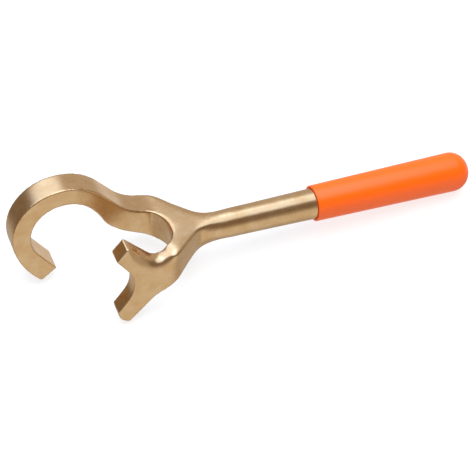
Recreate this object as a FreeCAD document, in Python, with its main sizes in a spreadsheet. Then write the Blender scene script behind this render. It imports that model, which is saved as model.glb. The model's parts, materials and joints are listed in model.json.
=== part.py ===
"""Fire hydrant and valve-wheel hook wrench: a forged bronze tool with a dipped vinyl grip.

The tool is drawn in its own frame: X runs along the handle from the hook to the butt, Y is
across the fork, Z stands off the fork's top face, and the origin is the centre of the hook's
round opening, on the hook's inner side. Each sub-part is then placed in the attitude in which
the loose tool lies on a flat surface, with the middle of its footprint at the origin.
"""
import FreeCAD, Part
import math
import os

import Sketcher

V = FreeCAD.Vector
ORIGIN_POINT = (-1, 1)
X_AXIS_LINE = -1
HANDLE_AXIS = {"y": "-Dims.shank_below", "z": "Dims.shank_across"}

doc = FreeCAD.newDocument("hydrant_wrench")

# ---------------------------------------------------------------- driving dimensions, mm
SIZES = {
    "hook_bore_radius": 28.7,
    "hook_rim_radius": 44.0,
    "hook_stock": 30.0,
    "fork_middle": 22.5,
    "claw_stock": 62.0,
    "plan_height": 60.0,
    # the round shank: a nose buried in the neck, then a bar that thickens towards the butt
    "shank_across": 23.2,
    "shank_below": 6.6,
    "shank_nose": 80.0,
    "shank_nose_radius": 5.0,
    "shank_start": 106.0,
    "shank_start_radius": 11.8,
    "shank_waist": 150.0,
    "shank_waist_radius": 12.15,
    "shank_end": 338.0,
    "shank_end_radius": 15.2,
    "shank_tail": 341.0,
    "shank_tail_radius": 12.0,
    # the dipped grip: a sleeve with a rolled mouth and a domed, closed end
    "grip_mouth": 205.5,
    "grip_mouth_radius": 15.2,
    "grip_bore_radius": 13.05,
    "grip_lip": 0.7,
    "grip_end": 350.5,
    "grip_end_radius": 17.4,
    "grip_end_round": 15.0,
    # lying attitude: the tool rests on the hook's tip, the claw's heel and the grip's butt
    "rest_roll": -13.978,
    "rest_pitch": 5.064,
}

# Outlines as named corners: two coordinates and a rounding radius, where 0 is a sharp corner.
HOOK_CORNERS = {
    "neck_top_end": (140.0, 3.0, 0.0),
    "neck_crest": (109.0, 4.6, 60.0),
    "arm_top": (56.7, 3.8, 40.0),
    "tip_back": (-36.4, -32.4, 70.0),
    "tip_outer": (-22.3, -45.8, 0.0),
    "tip_inner": (-9.4, -35.5, 0.0),
    "arm_shoulder": (27.9, 10.9, 50.0),
    "arm_elbow": (33.6, -0.8, 30.0),
    "arm_belly": (46.7, -11.1, 60.0),
    "crotch_low": (73.5, -24.0, 25.0),
    "neck_low": (108.0, -19.5, 40.0),
    "neck_low_end": (140.0, -15.0, 0.0),
}
CLAW_CORNERS = {
    "claw_end_top": (140.0, 3.0, 0.0),
    "claw_crest": (109.0, 4.6, 60.0),
    "saddle_lip": (71.0, 3.8, 8.0),
    "saddle": (60.3, -4.6, 10.2),
    "prong_top": (33.4, 22.3, 1.5),
    "prong_point": (24.0, 11.0, 1.0),
    "notch": (44.6, -17.7, 27.0),
    "heel_inner": (24.5, -44.4, 1.0),
    "heel_bulge": (26.2, -52.6, 8.0),
    "heel_outer": (33.8, -57.3, 1.5),
    "claw_back": (56.3, -34.6, 25.0),
    "claw_root": (77.7, -23.4, 25.0),
    "claw_low": (108.0, -19.5, 40.0),
    "claw_end_low": (140.0, -15.0, 0.0),
}
REAR_CORNERS = {
    "rear_near": (-70.0, 21.9, 0.0),
    "rear_shoulder": (77.0, 21.9, 25.0),
    "rear_waist": (109.9, -15.3, 25.0),
    "rear_tail": (150.0, -18.9, 0.0),
    "rear_far_corner": (150.0, 40.0, 0.0),
    "rear_near_corner": (-70.0, 40.0, 0.0),
}
FRONT_CORNERS = {
    "front_near": (-70.0, -57.5, 0.0),
    "front_shoulder": (74.2, -57.5, 20.0),
    "front_waist": (103.5, -31.5, 25.0),
    "front_tail": (150.0, -26.6, 0.0),
    "front_far_corner": (150.0, -80.0, 0.0),
    "front_near_corner": (-70.0, -80.0, 0.0),
}
SLOT_CORNERS = {
    "slot_rear_mouth": (-70.0, 0.0, 0.0),
    "slot_rear_side": (70.3, 0.0, 12.0),
    "slot_rear_end": (79.8, -12.7, 27.0),
    "slot_front_end": (79.8, -31.8, 24.0),
    "slot_front_side": (70.3, -43.2, 12.0),
    "slot_front_mouth": (-70.0, -43.2, 0.0),
}

ALL_CORNERS = {**HOOK_CORNERS, **CLAW_CORNERS, **REAR_CORNERS, **FRONT_CORNERS, **SLOT_CORNERS}

sheet = doc.addObject("Spreadsheet::Sheet", "Dims")


def fill_sheet():
    """Put every driving dimension in the sheet, each under its own alias."""
    cells = dict(SIZES)
    for name, (first, second, radius) in ALL_CORNERS.items():
        cells[name + "_u"] = first
        cells[name + "_v"] = second
        if radius > 0:
            cells[name + "_round"] = radius
    for row, (alias, number) in enumerate(cells.items(), start=1):
        sheet.set("A%d" % row, alias.replace("_", " "))
        sheet.set("B%d" % row, str(number))
        sheet.setAlias("B%d" % row, alias)
    doc.recompute()


def size(alias):
    """The number that the sheet holds under an alias."""
    return float(sheet.get(alias))


# ---------------------------------------------------------------- sketch helpers
def origin_plane(body, role):
    """The body's own origin plane of the given role."""
    for feature in body.Origin.OriginFeatures:
        if feature.Role == role:
            return feature
    raise ValueError("no origin plane " + role)


def new_sketch(body, name, role, offsets):
    """A sketch on an origin plane, shifted by cells: {"x" | "y" | "z": expression}."""
    sketch = body.newObject("Sketcher::SketchObject", name)
    sketch.AttachmentSupport = [(origin_plane(body, role), "")]
    sketch.MapMode = "FlatFace"
    for axis, expression in offsets.items():
        sketch.setExpression("AttachmentOffset.Base." + axis, expression)
    return sketch


def bind(sketch, constraint, expression):
    """Add a dimension to a sketch and tie it to the sheet."""
    index = sketch.addConstraint(constraint)
    sketch.setExpression("Constraints[%d]" % index, expression)


def corner_stop(name):
    """A named corner of the sheet, as a stop of an outline."""
    radius = size(name + "_round") if ALL_CORNERS[name][2] > 0 else 0.0
    return {"name": name, "at": V(size(name + "_u"), size(name + "_v"), 0), "radius": radius}


def circle_stop(radius_alias, side):
    """A run round a circle about the origin; side says where the runs beside it touch."""
    return {"circle": radius_alias, "radius": size(radius_alias), "side": side}


def touch_point(stop, corner, side):
    """Where a line from a corner touches the stop's circle about the origin."""
    reach = math.hypot(corner.x, corner.y)
    angle = math.atan2(corner.y, corner.x) + side * math.acos(stop["radius"] / reach)
    return V(stop["radius"] * math.cos(angle), stop["radius"] * math.sin(angle), 0)


def set_touches(before, stop, after):
    """Work out where the loop enters and leaves a stop, and the middle of its arc."""
    if "circle" in stop:
        stop["enter"] = touch_point(stop, before["at"], stop["side"])
        stop["leave"] = touch_point(stop, after["at"], -stop["side"])
        start = math.atan2(stop["enter"].y, stop["enter"].x)
        end = math.atan2(stop["leave"].y, stop["leave"].x)
        turn = (end - start) * stop["side"] % (2 * math.pi)
        middle = start + stop["side"] * turn / 2
        stop["middle"] = V(math.cos(middle), math.sin(middle), 0) * stop["radius"]
        return
    to_before = (aim(before, stop, -1) - stop["at"]).normalize()
    to_after = (aim(after, stop, 1) - stop["at"]).normalize()
    half_angle = to_before.getAngle(to_after) / 2
    reach = stop["radius"] / math.tan(half_angle)
    stop["enter"] = stop["at"] + to_before * reach
    stop["leave"] = stop["at"] + to_after * reach
    gap = stop["radius"] / math.sin(half_angle) - stop["radius"]
    stop["middle"] = stop["at"] + (to_before + to_after).normalize() * gap


def aim(neighbour, stop, way):
    """The point a corner's run heads for: the next corner, or where it touches a circle."""
    if "circle" in neighbour:
        return touch_point(neighbour, stop["at"], way * neighbour["side"])
    return neighbour["at"]


def draw_loop(sketch, stops):
    """Draw a closed loop of straight runs and tangent arcs, tied to the sheet's cells."""
    count = len(stops)
    for index, stop in enumerate(stops):
        set_touches(stops[index - 1], stop, stops[(index + 1) % count])
    lines = []
    for index, stop in enumerate(stops):
        after = stops[(index + 1) % count]
        lines.append(sketch.addGeometry(Part.LineSegment(stop["leave"], after["enter"])))
    for index, stop in enumerate(stops):
        line_in, line_out = lines[index - 1], lines[index]
        if stop["radius"] > 0:
            bend = (stop["middle"] - stop["enter"]).cross(stop["leave"] - stop["middle"]).z
            ends = (stop["enter"], stop["leave"]) if bend > 0 else (stop["leave"], stop["enter"])
            arc = sketch.addGeometry(Part.Arc(ends[0], stop["middle"], ends[1]))
            first, last = (1, 2) if bend > 0 else (2, 1)
            sketch.addConstraint(Sketcher.Constraint("Tangent", line_in, 2, arc, first))
            sketch.addConstraint(Sketcher.Constraint("Tangent", arc, last, line_out, 1))
        else:
            sketch.addConstraint(Sketcher.Constraint("Coincident", line_in, 2, line_out, 1))
        if "circle" in stop:
            sketch.addConstraint(Sketcher.Constraint("Coincident", arc, 3, *ORIGIN_POINT))
            bind(sketch, Sketcher.Constraint("Radius", arc, stop["radius"]), "Dims." + stop["circle"])
            continue
        if stop["radius"] > 0:
            bind(
                sketch,
                Sketcher.Constraint("Radius", arc, stop["radius"]),
                "Dims.%s_round" % stop["name"],
            )
            marker = (sketch.addGeometry(Part.Point(stop["at"]), True), 1)
            sketch.addConstraint(Sketcher.Constraint("PointOnObject", *marker, line_in))
            sketch.addConstraint(Sketcher.Constraint("PointOnObject", *marker, line_out))
        else:
            marker = (line_out, 1)
        for kind, axis, number in (("DistanceX", "u", stop["at"].x), ("DistanceY", "v", stop["at"].y)):
            constraint = Sketcher.Constraint(kind, *ORIGIN_POINT, *marker, number)
            bind(sketch, constraint, "Dims.%s_%s" % (stop["name"], axis))


def pad(body, sketch, name, length):
    """Extrude a sketch along its normal; the length is an expression."""
    feature = body.newObject("PartDesign::Pad", name)
    feature.Profile = sketch
    feature.setExpression("Length", length)
    doc.recompute()
    return feature


def cut_through(body, sketch, name):
    """Cut a sketch down through the whole body, and make sure that something came off."""
    before = body.Shape.Volume
    feature = body.newObject("PartDesign::Pocket", name)
    feature.Profile = sketch
    feature.Type = "ThroughAll"
    doc.recompute()
    if body.Shape.Volume > 0.9 * before:
        raise RuntimeError(name + " cut too little away")


def draw_half_section(sketch, points):
    """A closed half section: each point is a cell along the axis and a cell for the radius."""
    places = [V(size(along), size(out) if out else 0, 0) for along, out in points]
    for index, place in enumerate(places):
        sketch.addGeometry(Part.LineSegment(place, places[(index + 1) % len(places)]))
    for index, (along, out) in enumerate(points):
        previous = (index - 1) % len(points)
        sketch.addConstraint(Sketcher.Constraint("Coincident", previous, 2, index, 1))
        across = Sketcher.Constraint("DistanceX", *ORIGIN_POINT, index, 1, places[index].x)
        bind(sketch, across, "Dims." + along)
        if out:
            up = Sketcher.Constraint("DistanceY", *ORIGIN_POINT, index, 1, places[index].y)
            bind(sketch, up, "Dims." + out)
        else:
            sketch.addConstraint(Sketcher.Constraint("PointOnObject", index, 1, X_AXIS_LINE))


def spin(body, sketch, name):
    """Revolve a half section about the handle's axis."""
    feature = body.newObject("PartDesign::Revolution", name)
    feature.Profile = sketch
    feature.ReferenceAxis = (sketch, ["H_Axis"])
    doc.recompute()


def lay_down(pieces):
    """Roll and pitch the whole tool to its lying attitude, then centre its box on the ground."""
    roll = FreeCAD.Rotation(V(1, 0, 0), size("rest_roll"))
    pitch = FreeCAD.Rotation(V(0, 1, 0), size("rest_pitch"))
    for piece in pieces:
        piece.Placement = FreeCAD.Placement(V(0, 0, 0), pitch.multiply(roll))
    box = Part.Compound([piece.Shape for piece in pieces]).optimalBoundingBox()
    ground = V(-box.Center.x, -box.Center.y, -box.ZMin)
    for piece in pieces:
        piece.Placement = FreeCAD.Placement(ground, pitch.multiply(roll))
    doc.recompute()


# ---------------------------------------------------------------- the forging
def build_hook_blank():
    """Hook, arm and the rear half of the neck: the side view, trimmed to the top view."""
    body = doc.addObject("PartDesign::Body", "hook_blank")
    # The XZ plane's normal points along -Y, so the slab grows from behind towards the claw.
    side = new_sketch(body, "hook_side", "XZ_Plane", {"z": "-Dims.hook_stock"})
    loop = [corner_stop(name) for name in ("neck_top_end", "neck_crest", "arm_top")]
    loop.append(circle_stop("hook_rim_radius", 1))
    loop += [corner_stop(name) for name in ("tip_back", "tip_outer", "tip_inner")]
    loop.append(circle_stop("hook_bore_radius", -1))
    lower = ("arm_shoulder", "arm_elbow", "arm_belly", "crotch_low", "neck_low", "neck_low_end")
    loop += [corner_stop(name) for name in lower]
    draw_loop(side, loop)
    pad(body, side, "hook_slab", "Dims.hook_stock + Dims.fork_middle")

    plan = new_sketch(body, "hook_plan", "XY_Plane", {"z": "Dims.plan_height"})
    draw_loop(plan, [corner_stop(name) for name in REAR_CORNERS])
    draw_loop(plan, [corner_stop(name) for name in SLOT_CORNERS])
    cut_through(body, plan, "hook_trim")
    return body


def build_claw_blank():
    """Claw plate with its notch and the front half of the neck, made the same way."""
    body = doc.addObject("PartDesign::Body", "claw_blank")
    side = new_sketch(body, "claw_side", "XZ_Plane", {"z": "Dims.fork_middle"})
    draw_loop(side, [corner_stop(name) for name in CLAW_CORNERS])
    pad(body, side, "claw_slab", "Dims.claw_stock - Dims.fork_middle")

    plan = new_sketch(body, "claw_plan", "XY_Plane", {"z": "Dims.plan_height"})
    draw_loop(plan, [corner_stop(name) for name in FRONT_CORNERS])
    draw_loop(plan, [corner_stop(name) for name in SLOT_CORNERS])
    cut_through(body, plan, "claw_trim")
    return body


def build_shank():
    """The round bar: its nose is buried in the neck and its tail fills the grip."""
    body = doc.addObject("PartDesign::Body", "shank_bar")
    half = new_sketch(body, "shank_half", "XZ_Plane", HANDLE_AXIS)
    draw_half_section(half, [
        ("shank_nose", None),
        ("shank_nose", "shank_nose_radius"),
        ("shank_start", "shank_start_radius"),
        ("shank_waist", "shank_waist_radius"),
        ("shank_end", "shank_end_radius"),
        ("shank_tail", "shank_tail_radius"),
        ("shank_tail", None),
    ])
    spin(body, half, "shank")
    return body


def build_wrench():
    """Hook, claw, neck and shank are one forging, so their blanks are joined in one solid."""
    wrench = doc.addObject("Part::MultiFuse", "forged_wrench")
    wrench.Shapes = [build_hook_blank(), build_claw_blank(), build_shank()]
    wrench.Refine = True
    wrench.Label = "forged_wrench"
    doc.recompute()
    return wrench


# ---------------------------------------------------------------- the grip
def build_grip():
    """The dipped vinyl sleeve: it clings to the shank and closes in a dome over its tail."""
    body = doc.addObject("PartDesign::Body", "vinyl_grip")
    body.Label = "vinyl_grip"
    half = new_sketch(body, "grip_half", "XZ_Plane", HANDLE_AXIS)
    draw_half_section(half, [
        ("grip_mouth", "grip_bore_radius"),
        ("grip_mouth", "grip_mouth_radius"),
        ("grip_end", "grip_end_radius"),
        ("grip_end", None),
        ("shank_tail", None),
        ("shank_tail", "shank_tail_radius"),
        ("shank_end", "shank_end_radius"),
    ])
    spin(body, half, "grip_sleeve")

    # Round the butt and break the edge of the mouth.
    for name, cell, along, radius in (
        ("butt_round", "grip_end_round", "grip_end", "grip_end_radius"),
        ("mouth_round", "grip_lip", "grip_mouth", "grip_mouth_radius"),
    ):
        base = body.Tip
        rim = ring_edge(base.Shape, size(along), size(radius))
        feature = body.newObject("PartDesign::Fillet", name)
        feature.Base = (base, [rim])
        feature.setExpression("Radius", "Dims." + cell)
        doc.recompute()
    return body


def ring_edge(shape, along, radius):
    """The name of the circular edge at a station of the handle, with the given radius."""
    for number, edge in enumerate(shape.Edges, start=1):
        round_edge = isinstance(edge.Curve, Part.Circle)
        if round_edge and abs(edge.Curve.Center.x - along) < 0.01:
            if abs(edge.Curve.Radius - radius) < 0.01:
                return "Edge%d" % number
    raise ValueError("no ring edge at %s" % along)


# ---------------------------------------------------------------- build, check, write
def check_document(pieces):
    """Stop if any object failed, or if a piece isn't one valid solid."""
    for thing in doc.Objects:
        if "Invalid" in thing.State or "Error" in thing.State:
            raise RuntimeError(thing.Name + " failed to compute")
    for piece in pieces:
        shape = piece.Shape
        if shape.isNull() or not shape.isValid() or len(shape.Solids) != 1:
            raise RuntimeError(piece.Label + " isn't one valid solid")


def main():
    fill_sheet()
    pieces = [build_wrench(), build_grip()]
    lay_down(pieces)
    check_document(pieces)
    os.makedirs("parts", exist_ok=True)
    for piece in pieces:
        piece.Shape.exportStep("parts/%s.step" % piece.Label)
        box = piece.Shape.BoundBox
        print(piece.Label, round(piece.Shape.Volume), "mm3", box)


main()
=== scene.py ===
import json
import math

import bpy
import numpy as np
from mathutils import Matrix, Vector


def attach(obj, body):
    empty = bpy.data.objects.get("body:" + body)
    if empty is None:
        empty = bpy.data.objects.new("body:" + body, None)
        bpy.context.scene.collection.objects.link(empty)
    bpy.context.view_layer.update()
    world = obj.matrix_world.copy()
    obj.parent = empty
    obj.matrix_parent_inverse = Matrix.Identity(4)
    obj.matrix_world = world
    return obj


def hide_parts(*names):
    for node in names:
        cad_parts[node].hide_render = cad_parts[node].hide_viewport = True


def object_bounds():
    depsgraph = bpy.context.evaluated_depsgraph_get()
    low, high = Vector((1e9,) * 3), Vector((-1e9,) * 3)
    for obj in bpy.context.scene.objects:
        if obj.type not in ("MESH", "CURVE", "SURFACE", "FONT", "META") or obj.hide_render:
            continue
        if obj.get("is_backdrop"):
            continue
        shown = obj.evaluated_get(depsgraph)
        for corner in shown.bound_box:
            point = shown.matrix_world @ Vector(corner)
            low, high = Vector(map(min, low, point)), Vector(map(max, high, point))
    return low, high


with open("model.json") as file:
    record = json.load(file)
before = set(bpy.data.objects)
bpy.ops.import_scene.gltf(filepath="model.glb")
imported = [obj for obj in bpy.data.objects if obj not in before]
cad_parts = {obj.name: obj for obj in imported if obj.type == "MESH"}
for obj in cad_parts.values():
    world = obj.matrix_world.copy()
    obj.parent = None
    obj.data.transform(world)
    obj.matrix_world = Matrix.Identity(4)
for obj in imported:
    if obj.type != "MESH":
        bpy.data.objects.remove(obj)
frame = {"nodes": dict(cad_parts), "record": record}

bl_info = {
    "name": "Hydrant Wrench",
    "version": (1, 0, 0),
    "blender": (4, 5, 0),
    "location": "3D View > Sidebar > Wrench",
    "description": "Builds a forged bronze hydrant wrench with a dipped vinyl hand grip",
    "category": "Object",
}

# The wrench's own directions, read from its mounts: along the handle, across the fork, and off
# the fork's top face.
MOUNTS = {mount["name"]: mount for mount in frame["record"]["mounts"]}
ALONG = Vector(MOUNTS["hand_grip"]["axis"]).normalized()
ACROSS = Vector(MOUNTS["hook_bore"]["axis"]).normalized()
OFF_TOP = ALONG.cross(ACROSS).normalized()
HOOK_CENTRE = Vector(MOUNTS["hook_bore"]["pos_m"])
GRIP_CENTRE = Vector(MOUNTS["hand_grip"]["pos_m"])
TOOL_TURN = np.array([ALONG, ACROSS, OFF_TOP])


# The neck's front ridge, from the shank down to the claw's saddle and up its arm: the place from
# the hook's centre and how far the soft blending reaches from there, in metres.
NECK_RIDGE = (
    (0.112, -0.037, 0.0035, 0.011),
    (0.105, -0.042, 0.0045, 0.011),
    (0.097, -0.048, 0.0043, 0.012),
    (0.088, -0.056, 0.0041, 0.012),
    (0.080, -0.063, 0.0038, 0.013),
    (0.0755, -0.0655, 0.0006, 0.013),
    (0.071, -0.066, -0.002, 0.013),
    (0.063, -0.0665, -0.003, 0.012),
    (0.058, -0.0665, -0.001, 0.010),
    (0.047, -0.0675, 0.0085, 0.008),
    (0.037, -0.0685, 0.0185, 0.003),
)
# The blending is full up to this share of its reach.
FULL_BLEND = 0.4
# Along the handle from the hook's centre, where the blending round the shank's root sets in and
# is full, and where it starts to fade and is gone.
ROOT_RISE = (0.074, 0.096)
ROOT_FADE = (0.118, 0.132)
# The claw's front face, across the fork from the hook's centre.
CLAW_FRONT = -0.06845
# The top edge of the claw's arm, from the upper prong over the saddle to the neck: the place
# along the handle and off the top, and the radius of the roll into the front face, in metres.
ARM_EDGE = (
    (0.0334, 0.0223, 0.0004),
    (0.0365, 0.0192, 0.0020),
    (0.0430, 0.0127, 0.0100),
    (0.0539, 0.0018, 0.0110),
    (0.0568, -0.0002, 0.0110),
    (0.0606, -0.0012, 0.0100),
    (0.0643, -0.0007, 0.0080),
    (0.0674, 0.0010, 0.0065),
    (0.0689, 0.0022, 0.0058),
    (0.0714, 0.0035, 0.0046),
    (0.0737, 0.0039, 0.0034),
    (0.0780, 0.0040, 0.0004),
)
# How far before the front face a point may lie and still be on the arm.
FACE_SLACK = 0.001
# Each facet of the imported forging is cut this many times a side. Half of the way to the planes
# at its corners puts its middle on a round surface, and no point moves further than the cap.
FACET_CUTS = 6
BOW_SHARE = 0.5
MOST_BOW = 0.00006
# Corners this many decimals of a metre alike are one point, and moves this alike are one move.
WELD_DECIMALS = 7
SAME_MOVE = 1e-6
# How far one smoothing pass takes a point towards its neighbours.
PASS_SHARE = 0.5

# The corners of the grip's section, from the bore's end round to the butt: what gives the
# radius, the depth from the mouth and the rounding, and the points along that rounding.
GRIP_SECTION = (
    (None, "Bore depth", None, 1),
    ("Bore end radius", "Bore depth", "Bore round", 3),
    ("Bore radius", None, "Lip round", 6),
    ("Mouth radius", None, "Lip round", 6),
    ("Butt radius", "Length", "Butt round", 28),
    (None, "Length", None, 1),
)
GRIP_INPUTS = {
    "Length": "NodeSocketFloat",
    "Mouth radius": "NodeSocketFloat",
    "Butt radius": "NodeSocketFloat",
    "Bore radius": "NodeSocketFloat",
    "Bore end radius": "NodeSocketFloat",
    "Bore depth": "NodeSocketFloat",
    "Bore round": "NodeSocketFloat",
    "Lip round": "NodeSocketFloat",
    "Butt round": "NodeSocketFloat",
    "Sides": "NodeSocketInt",
    "Mouth centre": "NodeSocketVector",
    "Axis": "NodeSocketVector",
    "Finish": "NodeSocketMaterial",
}
# The circle that the section is swept round; radii in the section are measured from it.
SWEEP_RADIUS = 0.001
GRIP_SIDES = 128
GRIP_CREASE = math.radians(40)
WELD_GAP = 0.000001
# The grip's mouth is read this deep, and the shank's tail from this far inside it.
MOUTH_DEPTH = 0.0015
TAIL_START = 0.01

# What the studio shows the metal: the azimuth and height that each part fills, the cosines
# where it starts and is full, its level and its colour.
STUDIO_PARTS = {
    "top_softbox": ((50, 71), 0.82, 0.94, 1.75, "#C9DDFF"),
    "side_softbox": ((108, 47), 0.80, 0.92, 1.9, "#C9DDFF"),
    "table": ((285, -65), 0.0, 0.34, 0.32, "#F4FAFF"),
    "front_card": ((266, -12), 0.5, 0.92, 0.28, "#F4FAFF"),
    "back_wall": ((45, 0), 0.5, 0.9, 0.36, "#F7F9FF"),
}
ROOM_LEVEL = 0.24
ROOM_COLOUR = "#FFE6CF"
SEEN_WHITE = 0.95
FLOOR_MATT = 0.3
FLOOR_GLOW = 0.86
FLOOR_HALF = 3.0
# The camera in the wrench's own directions: where it stands from the hook's centre, which way
# is behind it, and which way is on its right.
CAMERA_PLACE = (-0.20734, -0.82298, 0.75514)
CAMERA_BACK = (-0.2969, -0.6802, 0.6702)
CAMERA_RIGHT = (0.9301, -0.3651, 0.0416)


def linear(code):
    """An sRGB hex colour such as #C8A070 as linear RGB."""
    channels = [int(code[i : i + 2], 16) / 255 for i in (1, 3, 5)]
    return tuple(c / 12.92 if c <= 0.04045 else ((c + 0.055) / 1.055) ** 2.4 for c in channels)


class WrenchSizes(bpy.types.PropertyGroup):
    mesh_step: bpy.props.FloatProperty(
        name="Forging mesh step",
        description="Side of one mesh face on the forging, before its flat areas are thinned out",
        default=0.00065,
        min=0.0005,
        subtype="DISTANCE",
        unit="LENGTH",
    )
    kept_faces: bpy.props.FloatProperty(
        name="Faces kept",
        description="Share of the forging's faces left once its flat areas are thinned out",
        default=0.5,
        min=0.2,
        max=1,
        subtype="FACTOR",
    )
    edge_passes: bpy.props.IntProperty(
        name="Edge smoothing",
        description="Smoothing passes that dress every edge to about a millimetre",
        default=8,
        min=0,
    )
    neck_passes: bpy.props.IntProperty(
        name="Neck smoothing",
        description="Smoothing passes on the neck, where the fork runs into the shank",
        default=160,
        min=0,
    )
    bore_round: bpy.props.FloatProperty(
        name="Grip bore round",
        description="Radius at the bottom of the grip's bore, round the shank's tail",
        default=0.001,
        subtype="DISTANCE",
        unit="LENGTH",
    )
    lip_round: bpy.props.FloatProperty(
        name="Grip lip round",
        description="Radius of the rolled edge at the grip's mouth",
        default=0.0007,
        subtype="DISTANCE",
        unit="LENGTH",
    )
    butt_round: bpy.props.FloatProperty(
        name="Grip butt round",
        description="Radius of the dome at the grip's closed end",
        default=0.015,
        subtype="DISTANCE",
        unit="LENGTH",
    )


class WrenchColours(bpy.types.PropertyGroup):
    bronze: bpy.props.FloatVectorProperty(
        name="Bronze",
        description="Bare ground bronze",
        subtype="COLOR",
        size=3,
        min=0,
        max=1,
        default=linear("#E4C293"),
    )
    bronze_warm: bpy.props.FloatVectorProperty(
        name="Handled bronze",
        description="Bronze that hands and air have warmed",
        subtype="COLOR",
        size=3,
        min=0,
        max=1,
        default=linear("#D8B07C"),
    )
    vinyl: bpy.props.FloatVectorProperty(
        name="Vinyl",
        description="Dipped orange vinyl",
        subtype="COLOR",
        size=3,
        min=0,
        max=1,
        default=linear("#F96303"),
    )
    floor: bpy.props.FloatVectorProperty(
        name="Floor",
        description="Pale studio floor",
        subtype="COLOR",
        size=3,
        min=0,
        max=1,
        default=linear("#F4F4F4"),
    )


def add(tree, kind, settings=None, links=None):
    """Add a node: its settings, then what feeds each input, a socket to link or else a value."""
    node = tree.nodes.new(kind)
    for name, value in (settings or {}).items():
        setattr(node, name, value)
    for name, source in (links or {}).items():
        if isinstance(source, bpy.types.NodeSocket):
            tree.links.new(source, node.inputs[name])
        else:
            node.inputs[name].default_value = source
    return node


def new_material(name):
    """An empty node material."""
    material = bpy.data.materials.new(name)
    material.use_nodes = True
    material.node_tree.nodes.clear()
    return material


def satin_bronze(colours):
    """Aluminium bronze, forged, then linished on a belt along the handle and left bare.

    The eye gets a warm satin metal: soft-edged reflections with fine lines along the handle,
    over patches that handling and air have turned a little browner.
    """
    material = new_material("satin_bronze")
    tree = material.node_tree
    place = add(tree, "ShaderNodeTexCoord")
    turn = Matrix(TOOL_TURN.tolist()).to_euler()
    tool = add(tree, "ShaderNodeMapping", {}, {"Vector": place.outputs["Object"], "Rotation": turn})
    # Belt lines are about 0.1 mm wide and 4 mm long, drawn 0.5 mm wide so that they show.
    stretched = add(
        tree, "ShaderNodeMapping", {}, {"Vector": tool.outputs[0], "Scale": (0.12, 1, 1)}
    )
    belt = add(
        tree,
        "ShaderNodeTexNoise",
        {},
        {"Vector": stretched.outputs[0], "Scale": 1100.0, "Detail": 4.0, "Roughness": 0.6},
    )
    # Handling stains are patches 6 to 15 mm across.
    stain = add(
        tree,
        "ShaderNodeTexNoise",
        {},
        {"Vector": tool.outputs[0], "Scale": 90.0, "Detail": 3.0, "Roughness": 0.55},
    )
    stain_amount = add(
        tree,
        "ShaderNodeMapRange",
        {},
        {"Value": stain.outputs[0], "From Min": 0.35, "From Max": 0.7},
    )
    colour = add(
        tree,
        "ShaderNodeMix",
        {"data_type": "RGBA"},
        {
            0: stain_amount.outputs[0],
            6: (*colours.bronze, 1),
            7: (*colours.bronze_warm, 1),
        },
    )
    rough = add(
        tree,
        "ShaderNodeMapRange",
        {},
        {
            "Value": belt.outputs[0],
            "From Min": 0.3,
            "From Max": 0.7,
            "To Min": 0.2,
            "To Max": 0.28,
        },
    )
    relief = add(
        tree,
        "ShaderNodeBump",
        {},
        {"Height": belt.outputs[0], "Strength": 0.12, "Distance": 0.0002},
    )
    shader = add(
        tree,
        "ShaderNodeBsdfPrincipled",
        {},
        {
            "Base Color": colour.outputs[2],
            "Metallic": 1.0,
            "Roughness": rough.outputs[0],
            "Normal": relief.outputs[0],
        },
    )
    add(tree, "ShaderNodeOutputMaterial", {}, {"Surface": shader.outputs[0]})
    return material


def dipped_vinyl(colours):
    """Plastisol vinyl, dipped hot over the shank's end.

    The eye gets a strong even orange with a broad waxy gloss, faintly uneven where it set.
    """
    material = new_material("dipped_vinyl")
    tree = material.node_tree
    place = add(tree, "ShaderNodeTexCoord")
    # The dip sets with ripples about 8 mm apart.
    ripple = add(
        tree,
        "ShaderNodeTexNoise",
        {},
        {"Vector": place.outputs["Object"], "Scale": 120.0, "Detail": 2.0, "Roughness": 0.5},
    )
    rough = add(
        tree,
        "ShaderNodeMapRange",
        {},
        {
            "Value": ripple.outputs[0],
            "From Min": 0.3,
            "From Max": 0.7,
            "To Min": 0.3,
            "To Max": 0.38,
        },
    )
    relief = add(
        tree,
        "ShaderNodeBump",
        {},
        {"Height": ripple.outputs[0], "Strength": 0.1, "Distance": 0.0004},
    )
    shader = add(
        tree,
        "ShaderNodeBsdfPrincipled",
        {},
        {
            "Base Color": (*colours.vinyl, 1),
            "Roughness": rough.outputs[0],
            "IOR": 1.47,
            "Normal": relief.outputs[0],
        },
    )
    add(tree, "ShaderNodeOutputMaterial", {}, {"Surface": shader.outputs[0]})
    return material


def studio_floor(colours):
    """A white acrylic light table: matt, and lit a little from below."""
    material = new_material("white_acrylic")
    tree = material.node_tree
    dim = [FLOOR_MATT * channel for channel in colours.floor]
    matt = add(tree, "ShaderNodeBsdfDiffuse", {}, {"Color": (*dim, 1)})
    glow = add(
        tree, "ShaderNodeEmission", {}, {"Color": (*colours.floor, 1), "Strength": FLOOR_GLOW}
    )
    both = add(tree, "ShaderNodeAddShader", {}, {0: matt.outputs[0], 1: glow.outputs[0]})
    add(tree, "ShaderNodeOutputMaterial", {}, {"Surface": both.outputs[0]})
    return material


def link_piece(name, mesh):
    """A new object of a mesh, in the scene."""
    piece = bpy.data.objects.new(name, mesh)
    bpy.context.scene.collection.objects.link(piece)
    return piece


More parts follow.
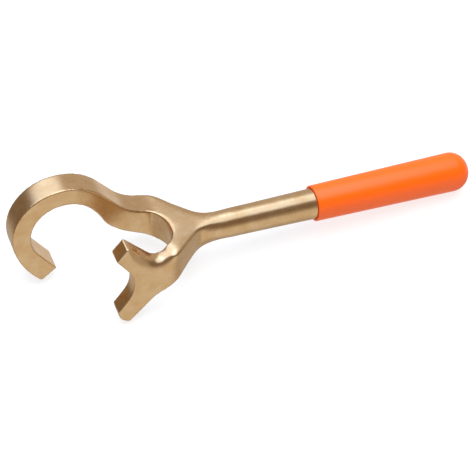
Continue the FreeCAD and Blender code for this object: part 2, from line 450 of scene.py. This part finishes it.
def bowed_surface(mesh):
    """The mesh's triangles, cut up and bowed to the curved surface their corner normals tell of."""
    count = len(mesh.vertices)
    co = np.empty(count * 3)
    mesh.vertices.foreach_get("co", co)
    co = co.reshape(-1, 3)
    corner_vertex = np.empty(len(mesh.loops), int)
    mesh.loops.foreach_get("vertex_index", corner_vertex)
    normal = np.empty(len(mesh.loops) * 3)
    mesh.corner_normals.foreach_get("vector", normal)
    normal = normal.reshape(-1, 3, 3)
    _, weld = np.unique(np.round(co, WELD_DECIMALS), axis=0, return_inverse=True)
    weld = weld.ravel()[corner_vertex].reshape(-1, 3)
    corners = co[corner_vertex].reshape(-1, 3, 3)
    stops = range(FACET_CUTS + 1)
    shares = [(i, j, FACET_CUTS - i - j) for i in stops for j in stops[: len(stops) - i]]
    slot = {share: k for k, share in enumerate(shares)}
    weight = np.array(shares) / FACET_CUTS
    flat = np.einsum("sk,tkx->tsx", weight, corners)
    gap = np.einsum("tskx,tkx->tsk", flat[:, :, None] - corners[:, None], normal)
    bow = -BOW_SHARE * np.einsum("sk,tsk,tkx->tsx", weight, gap, normal)
    size = np.linalg.norm(bow, axis=2, keepdims=True)
    bow *= np.minimum(1, MOST_BOW / np.maximum(size, 1e-9))
    points = []
    moves = []
    numbers = {}
    index = np.empty((len(corners), len(shares)), int)
    for t in range(len(corners)):
        for s, share in enumerate(shares):
            key = tuple(sorted((weld[t, k], share[k]) for k in range(3) if share[k]))
            if len(key) == 3:
                key = (t, s)
            at = numbers.get(key)
            if at is None:
                at = numbers[key] = len(points)
                points.append(flat[t, s])
                moves.append([bow[t, s]])
            elif len(key) == 2:
                moves[at].append(bow[t, s])
            index[t, s] = at
    points = np.array(points)
    for at, move in enumerate(moves):
        # On a sharp edge each side bows its own way, and the edge follows both.
        same = len(move) < 2 or np.linalg.norm(move[0] - move[1]) < SAME_MOVE
        points[at] += move[0] if same else move[0] + move[1]
    faces = []
    for i, j, k in shares:
        if k > 0:
            upright = [slot[i, j, k], slot[i + 1, j, k - 1], slot[i, j + 1, k - 1]]
            faces.append(index[:, upright])
        if k > 1:
            turned = [slot[i + 1, j, k - 1], slot[i + 1, j + 1, k - 2], slot[i, j + 1, k - 1]]
            faces.append(index[:, turned])
    return points, np.concatenate(faces)


def applied(name, piece):
    """The piece's mesh with its modifiers applied, as a new object."""
    bpy.context.view_layer.update()
    depsgraph = bpy.context.evaluated_depsgraph_get()
    mesh = bpy.data.meshes.new_from_object(piece.evaluated_get(depsgraph))
    mesh.name = name
    bpy.data.objects.remove(piece)
    return link_piece(name, mesh)


def smoothed(points, pairs, amount, passes):
    """Points moved towards the mean of their neighbours, each by its own amount, pass by pass."""
    neighbours = np.bincount(pairs.ravel(), minlength=len(points))[:, None]
    for _ in range(passes):
        total = np.zeros_like(points)
        for axis in range(3):
            total[:, axis] = np.bincount(pairs[:, 0], points[pairs[:, 1], axis], len(points))
            total[:, axis] += np.bincount(pairs[:, 1], points[pairs[:, 0], axis], len(points))
        points = points + amount[:, None] * (total / neighbours - points)
    return points


def eased(value, start, full):
    """0 before start, 1 past full, and a smooth rise between."""
    share = np.clip((value - start) / (full - start), 0, 1)
    return share * share * (3 - 2 * share)


def in_tool(points):
    """Points in the wrench's own directions, from the hook's centre."""
    return (points - np.array(HOOK_CENTRE)) @ TOOL_TURN.T


def feet(places, path):
    """For each run of a path, its direction and the nearest stop on it to each place.

    A stop holds all that the path's corners hold, so it goes on past the place's own numbers.
    """
    axes = places.shape[1]
    for start, end in zip(path[:-1], path[1:]):
        run = end - start
        way = run[:axes]
        share = np.clip((places - start[:axes]) @ way / (way @ way), 0, 1)
        yield way, start + share[:, None] * run


def neck_share(points):
    """How much soft blending each point gets, along the front ridge and round the shank's root."""
    places = in_tool(points)
    gap = np.ones(len(places))
    for _, foot in feet(places, np.array(NECK_RIDGE)):
        gap = np.minimum(gap, np.linalg.norm(places - foot[:, :3], axis=1) / foot[:, 3])
    on_ridge = 1 - eased(gap, FULL_BLEND, 1)
    root = eased(places[:, 0], *ROOT_RISE) * (1 - eased(places[:, 0], *ROOT_FADE))
    return np.maximum(on_ridge, root)


def rolled(points):
    """The points, with the top of the claw's arm rolled into its front face as the die left it."""
    places = in_tool(points)
    side = places[:, ::2]
    back = places[:, 1] - CLAW_FRONT
    nearest = np.full(len(places), np.inf)
    down = np.zeros(len(places))
    radius = np.zeros(len(places))
    inward = np.zeros((len(places), 2))
    for way, foot in feet(side, np.array(ARM_EDGE)):
        off = side - foot[:, :2]
        gap = np.linalg.norm(off, axis=1)
        closer = gap < nearest
        normal = np.array([way[1], -way[0]]) / np.linalg.norm(way)
        nearest[closer] = gap[closer]
        inward[closer] = normal
        down[closer] = (off @ normal)[closer]
        radius[closer] = foot[closer, 2]
    in_roll = (down < radius) & (back < radius) & (nearest < radius)
    on_arm = in_roll & (back > -FACE_SLACK)
    from_axis = np.stack([down - radius, back - radius], axis=1)[on_arm]
    kept = from_axis * (radius[on_arm] / np.linalg.norm(from_axis, axis=1))[:, None]
    shift = kept - from_axis
    places[on_arm, ::2] += shift[:, :1] * inward[on_arm]
    places[on_arm, 1] += shift[:, 1]
    return places @ TOOL_TURN + np.array(HOOK_CENTRE)


class WRENCH_OT_forging(bpy.types.Operator):
    """Make the forged wrench: hook, claw and shank in one dressed bronze forging"""

    bl_idname = "wrench.forging"
    bl_label = "Forged Wrench"

    def execute(self, context):
        sizes = context.scene.wrench_sizes
        node = frame["nodes"]["forged_wrench"]
        points, faces = bowed_surface(node.data)
        mesh = bpy.data.meshes.new("forging_blank")
        mesh.from_pydata(points.tolist(), [], faces.tolist())
        blank = link_piece("forging_blank", mesh)
        remesh = blank.modifiers.new("even_faces", "REMESH")
        remesh.mode = "VOXEL"
        remesh.voxel_size = sizes.mesh_step
        fine = applied("forging_fine", blank)
        mesh = fine.data
        points = np.empty(len(mesh.vertices) * 3)
        mesh.vertices.foreach_get("co", points)
        points = rolled(points.reshape(-1, 3))
        pairs = np.empty(len(mesh.edges) * 2, int)
        mesh.edges.foreach_get("vertices", pairs)
        pairs = pairs.reshape(-1, 2)
        every = np.full(len(points), PASS_SHARE)
        dressed = smoothed(points, pairs, every, sizes.edge_passes)
        neck = PASS_SHARE * neck_share(dressed)
        finished = smoothed(dressed, pairs, neck, sizes.neck_passes)
        mesh.vertices.foreach_set("co", finished.ravel())
        thin = fine.modifiers.new("fewer_flat_faces", "DECIMATE")
        thin.ratio = sizes.kept_faces
        forging = applied("wrench_forging", fine)
        mesh = forging.data
        mesh.shade_smooth()
        mesh.materials.clear()
        mesh.materials.append(satin_bronze(context.scene.wrench_colours))
        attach(forging, "root")
        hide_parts("forged_wrench")
        return {"FINISHED"}


def indexed(tree, index, data_type, values):
    """A node that gives each point of the section its own value, and that node's output."""
    node = add(tree, "GeometryNodeIndexSwitch", {"data_type": data_type}, {"Index": index})
    while len(node.index_switch_items) < len(values):
        node.index_switch_items.new()
    for number, value in enumerate(values, start=1):
        if isinstance(value, bpy.types.NodeSocket):
            tree.links.new(value, node.inputs[number])
        else:
            node.inputs[number].default_value = value
    return node.outputs[0]


def grip_tree():
    """A sleeve turned about its axis: a tapered wall, a rolled mouth and a closed, domed butt."""
    tree = bpy.data.node_groups.new("vinyl_grip_lathe", "GeometryNodeTree")
    for name, kind in GRIP_INPUTS.items():
        tree.interface.new_socket(name, in_out="INPUT", socket_type=kind)
    tree.interface.new_socket("Geometry", in_out="OUTPUT", socket_type="NodeSocketGeometry")
    given = add(tree, "NodeGroupInput").outputs
    line = add(tree, "GeometryNodeCurvePrimitiveLine", {}, {"End": (1, 0, 0)})
    section = add(
        tree,
        "GeometryNodeResampleCurve",
        {},
        {"Curve": line.outputs[0], "Count": len(GRIP_SECTION)},
    )
    index = add(tree, "GeometryNodeInputIndex").outputs[0]
    corners = []
    rounds = []
    for radius, depth, rounding, _ in GRIP_SECTION:
        outward = add(
            tree,
            "ShaderNodeMath",
            {"operation": "SUBTRACT"},
            {0: given[radius] if radius else 0.0, 1: SWEEP_RADIUS},
        )
        corner = add(
            tree,
            "ShaderNodeCombineXYZ",
            {},
            {"X": outward.outputs[0], "Y": given[depth] if depth else 0.0},
        )
        corners.append(corner.outputs[0])
        rounds.append(given[rounding] if rounding else 0.0)
    placed = add(
        tree,
        "GeometryNodeSetPosition",
        {},
        {"Geometry": section.outputs[0], "Position": indexed(tree, index, "VECTOR", corners)},
    )
    rounded = add(
        tree,
        "GeometryNodeFilletCurve",
        {"mode": "POLY"},
        {
            "Curve": placed.outputs[0],
            "Radius": indexed(tree, index, "FLOAT", rounds),
            "Count": indexed(tree, index, "INT", [points for *_, points in GRIP_SECTION]),
        },
    )
    circle = add(
        tree,
        "GeometryNodeCurvePrimitiveCircle",
        {},
        {"Resolution": given["Sides"], "Radius": SWEEP_RADIUS},
    )
    level = add(tree, "GeometryNodeSetCurveNormal", {"mode": "Z_UP"}, {"Curve": circle.outputs[0]})
    turned = add(
        tree,
        "GeometryNodeCurveToMesh",
        {},
        {"Curve": level.outputs[0], "Profile Curve": rounded.outputs[0]},
    )
    closed = add(
        tree,
        "GeometryNodeMergeByDistance",
        {},
        {"Geometry": turned.outputs[0], "Distance": WELD_GAP},
    )
    aim = add(tree, "FunctionNodeAlignRotationToVector", {"axis": "Z"}, {"Vector": given["Axis"]})
    in_place = add(
        tree,
        "GeometryNodeTransform",
        {},
        {
            "Geometry": closed.outputs[0],
            "Translation": given["Mouth centre"],
            "Rotation": aim.outputs[0],
        },
    )
    real = add(tree, "GeometryNodeRealizeInstances", {}, {"Geometry": in_place.outputs[0]})
    dipped = add(
        tree,
        "GeometryNodeSetMaterial",
        {},
        {"Geometry": real.outputs[0], "Material": given["Finish"]},
    )
    add(tree, "NodeGroupOutput", {}, {0: dipped.outputs[0]})
    return tree


def reach(node):
    """For each vertex of a CAD node, how far along the grip's axis it is, and how far off it."""
    co = np.array([vertex.co for vertex in node.data.vertices])
    off = co - np.array(GRIP_CENTRE)
    along = off @ np.array(ALONG)
    radius = np.linalg.norm(off - along[:, None] * np.array(ALONG), axis=1)
    return along, radius


class WRENCH_OT_grip(bpy.types.Operator):
    """Make the vinyl grip over the end of the shank"""

    bl_idname = "wrench.grip"
    bl_label = "Vinyl Grip"

    def execute(self, context):
        sizes = context.scene.wrench_sizes
        along, radius = reach(frame["nodes"]["vinyl_grip"])
        shank_along, shank_radius = reach(frame["nodes"]["forged_wrench"])
        mouth = along.min()
        at_mouth = along < mouth + MOUTH_DEPTH
        in_grip = shank_along > mouth + TAIL_START
        given = {
            "Length": along.max() - mouth,
            "Mouth radius": radius[at_mouth].max(),
            "Butt radius": radius.max(),
            "Bore radius": radius[at_mouth].min(),
            "Bore end radius": shank_radius[in_grip].max(),
            "Bore depth": shank_along.max() - mouth,
            "Bore round": sizes.bore_round,
            "Lip round": sizes.lip_round,
            "Butt round": sizes.butt_round,
            "Sides": GRIP_SIDES,
            "Mouth centre": GRIP_CENTRE + float(mouth) * ALONG,
            "Axis": -ALONG,
            "Finish": dipped_vinyl(context.scene.wrench_colours),
        }
        blank = link_piece("grip_blank", bpy.data.meshes.new("grip_blank"))
        lathe = blank.modifiers.new("lathe", "NODES")
        lathe.node_group = grip_tree()
        for item in lathe.node_group.interface.items_tree:
            if item.in_out == "INPUT":
                value = given[item.name]
                lathe[item.identifier] = float(value) if isinstance(value, np.floating) else value
        grip = applied("wrench_grip", blank)
        grip.data.shade_smooth()
        grip.data.set_sharp_from_angle(angle=GRIP_CREASE)
        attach(grip, "root")
        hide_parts("vinyl_grip")
        return {"FINISHED"}


def toward(azimuth, height):
    """The direction at an azimuth from +X towards +Y and a height, both in degrees."""
    flat = math.cos(math.radians(height))
    turn = math.radians(azimuth)
    return (flat * math.cos(turn), flat * math.sin(turn), math.sin(math.radians(height)))


def studio_world():
    """Soft light parts all round for the wrench to reflect, and plain pale white for the eye."""
    world = bpy.data.worlds.new("soft_studio")
    bpy.context.scene.world = world
    world.use_nodes = True
    tree = world.node_tree
    tree.nodes.clear()
    place = add(tree, "ShaderNodeTexCoord")
    lit = add(
        tree,
        "ShaderNodeBackground",
        {},
        {"Color": (*linear(ROOM_COLOUR), 1), "Strength": ROOM_LEVEL},
    )
    for name, (direction, start, full, amount, colour) in STUDIO_PARTS.items():
        facing = add(
            tree,
            "ShaderNodeVectorMath",
            {"operation": "DOT_PRODUCT", "label": name},
            {0: place.outputs["Generated"], 1: toward(*direction)},
        )
        level = add(
            tree,
            "ShaderNodeMapRange",
            {"interpolation_type": "SMOOTHSTEP", "label": name},
            {
                "Value": facing.outputs["Value"],
                "From Min": start,
                "From Max": full,
                "To Max": amount,
            },
        )
        part = add(
            tree,
            "ShaderNodeBackground",
            {"label": name},
            {"Color": (*linear(colour), 1), "Strength": level.outputs[0]},
        )
        lit = add(tree, "ShaderNodeAddShader", {}, {0: lit.outputs[0], 1: part.outputs[0]})
    seen = add(tree, "ShaderNodeBackground", {}, {"Strength": SEEN_WHITE})
    path = add(tree, "ShaderNodeLightPath")
    either = add(
        tree,
        "ShaderNodeMixShader",
        {},
        {0: path.outputs["Is Camera Ray"], 1: lit.outputs[0], 2: seen.outputs[0]},
    )
    add(tree, "ShaderNodeOutputWorld", {}, {"Surface": either.outputs[0]})


def overhead_light():
    """A broad silk above the table, which lights matt surfaces and leaves the metal alone."""
    silk = bpy.data.lights.new("overhead_silk", "AREA")
    silk.shape = "RECTANGLE"
    silk.size = 1.8
    silk.size_y = 1.4
    silk.energy = 26
    lamp = bpy.data.objects.new("overhead_silk", silk)
    lamp.location = (0.1, 0.15, 1.5)
    lamp.visible_glossy = False
    lamp.visible_camera = False
    bpy.context.scene.collection.objects.link(lamp)


def place_camera():
    """The camera, in front of the hook and above it."""
    lens = bpy.data.cameras.new("studio_camera")
    lens.lens = 107.23
    lens.sensor_width = 36
    camera = bpy.data.objects.new("studio_camera", lens)
    back = Vector(TOOL_TURN.T @ np.array(CAMERA_BACK)).normalized()
    right = Vector(TOOL_TURN.T @ np.array(CAMERA_RIGHT))
    up = back.cross(right).normalized()
    turn = Matrix((up.cross(back), up, back)).transposed().to_4x4()
    place = HOOK_CENTRE + Vector(TOOL_TURN.T @ np.array(CAMERA_PLACE))
    camera.matrix_world = Matrix.Translation(place) @ turn
    bpy.context.scene.collection.objects.link(camera)
    bpy.context.scene.camera = camera


class WRENCH_OT_stage(bpy.types.Operator):
    """Make the pale floor, the soft studio light and the camera"""

    bl_idname = "wrench.stage"
    bl_label = "Studio Stage"

    def execute(self, context):
        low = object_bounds()[0][2]
        mesh = bpy.data.meshes.new("studio_floor")
        ways = ((-1, -1), (1, -1), (1, 1), (-1, 1))
        corners = [(FLOOR_HALF * along, FLOOR_HALF * across, low) for along, across in ways]
        mesh.from_pydata(corners, [], [(0, 1, 2, 3)])
        mesh.materials.append(studio_floor(context.scene.wrench_colours))
        floor = link_piece("studio_floor", mesh)
        floor.visible_glossy = False
        floor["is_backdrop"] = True
        studio_world()
        overhead_light()
        place_camera()
        context.scene.view_settings.view_transform = "Standard"
        return {"FINISHED"}


class WRENCH_PT_sidebar(bpy.types.Panel):
    """The wrench's sizes and colours, and a button for each piece"""

    bl_idname = "WRENCH_PT_sidebar"
    bl_label = "Hydrant Wrench"
    bl_space_type = "VIEW_3D"
    bl_region_type = "UI"
    bl_category = "Wrench"

    def draw(self, context):
        layout = self.layout
        for group in (context.scene.wrench_sizes, context.scene.wrench_colours):
            box = layout.box()
            for name in group.__annotations__:
                box.prop(group, name)
        for operator in OPERATORS:
            layout.operator(operator.bl_idname)


OPERATORS = (WRENCH_OT_forging, WRENCH_OT_grip, WRENCH_OT_stage)
CLASSES = (WrenchSizes, WrenchColours, *OPERATORS, WRENCH_PT_sidebar)


def register():
    for kind in CLASSES:
        bpy.utils.register_class(kind)
    bpy.types.Scene.wrench_sizes = bpy.props.PointerProperty(type=WrenchSizes)
    bpy.types.Scene.wrench_colours = bpy.props.PointerProperty(type=WrenchColours)


def unregister():
    del bpy.types.Scene.wrench_colours
    del bpy.types.Scene.wrench_sizes
    for kind in reversed(CLASSES):
        bpy.utils.unregister_class(kind)


def main():
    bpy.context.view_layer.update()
    register()
    bpy.ops.wrench.forging()
    bpy.ops.wrench.grip()
    bpy.ops.wrench.stage()


if __name__ == "__main__":
    main()
